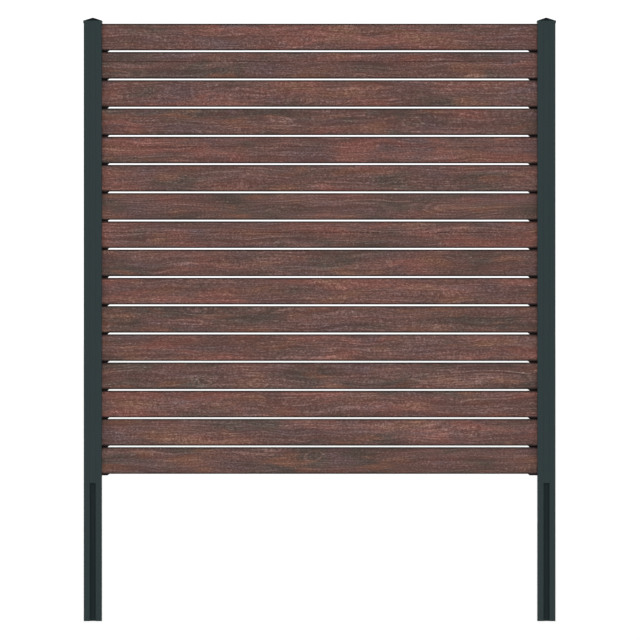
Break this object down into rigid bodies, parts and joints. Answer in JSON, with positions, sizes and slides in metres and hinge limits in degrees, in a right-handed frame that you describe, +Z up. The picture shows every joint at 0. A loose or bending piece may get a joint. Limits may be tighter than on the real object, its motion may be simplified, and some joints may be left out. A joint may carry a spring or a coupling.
{
  "type": "garden privacy screen",
  "caption": "Garden privacy screen: horizontal wood-look boards stacked with narrow gaps in the grooves of square metal posts with low pyramid caps, set in the ground.",
  "frame": {"origin": "on the ground plane of the post feet, midway between the two posts and midway through their depth", "axes": "+X along the boards from the left post to the right one as seen from the front, +Y from the front to the back, +Z up along the posts"},
  "size_m": [1.8914, 0.0764, 2.415],
  "materials": {
    "wood_composite": "matte",
    "anthracite_powder_coat": "satin",
    "black_plastic": "matte",
    "galvanised_steel": "satin",
    "stainless_steel": "satin"
  },
  "bodies": {
    "root": {"left_back_cover_strip": "anthracite_powder_coat", "left_front_cover_strip": "anthracite_powder_coat", "left_outer_cover_strip": "anthracite_powder_coat", "left_post": "anthracite_powder_coat", "left_post_cap": "anthracite_powder_coat", "left_spacer_01": "black_plastic", "left_spacer_02": "black_plastic", "left_spacer_03": "black_plastic", "left_spacer_04": "black_plastic", "left_spacer_05": "black_plastic", "left_spacer_06": "black_plastic", "left_spacer_07": "black_plastic", "left_spacer_08": "black_plastic", "left_spacer_09": "black_plastic", "left_spacer_10": "black_plastic", "left_spacer_11": "black_plastic", "left_spacer_12": "black_plastic", "left_spacer_13": "black_plastic", "left_spacer_14": "black_plastic", "left_spacer_15": "black_plastic", "left_spacer_16": "black_plastic", "right_back_cover_strip": "anthracite_powder_coat", "right_front_cover_strip": "anthracite_powder_coat", "right_outer_cover_strip": "anthracite_powder_coat", "right_post": "anthracite_powder_coat", "right_post_cap": "anthracite_powder_coat", "right_spacer_01": "black_plastic", "right_spacer_02": "black_plastic", "right_spacer_03": "black_plastic", "right_spacer_04": "black_plastic", "right_spacer_05": "black_plastic", "right_spacer_06": "black_plastic", "right_spacer_07": "black_plastic", "right_spacer_08": "black_plastic", "right_spacer_09": "black_plastic", "right_spacer_10": "black_plastic", "right_spacer_11": "black_plastic", "right_spacer_12": "black_plastic", "right_spacer_13": "black_plastic", "right_spacer_14": "black_plastic", "right_spacer_15": "black_plastic", "right_spacer_16": "black_plastic", "slat_01": "wood_composite", "slat_02": "wood_composite", "slat_03": "wood_composite", "slat_04": "wood_composite", "slat_05": "wood_composite", "slat_06": "wood_composite", "slat_07": "wood_composite", "slat_08": "wood_composite", "slat_09": "wood_composite", "slat_10": "wood_composite", "slat_11": "wood_composite", "slat_12": "wood_composite", "slat_13": "wood_composite", "slat_14": "wood_composite", "slat_15": "wood_composite", "slat_16": "wood_composite", "stack_bracket_screws": "stainless_steel", "stack_brackets": "galvanised_steel"}
  },
  "joints": []
}
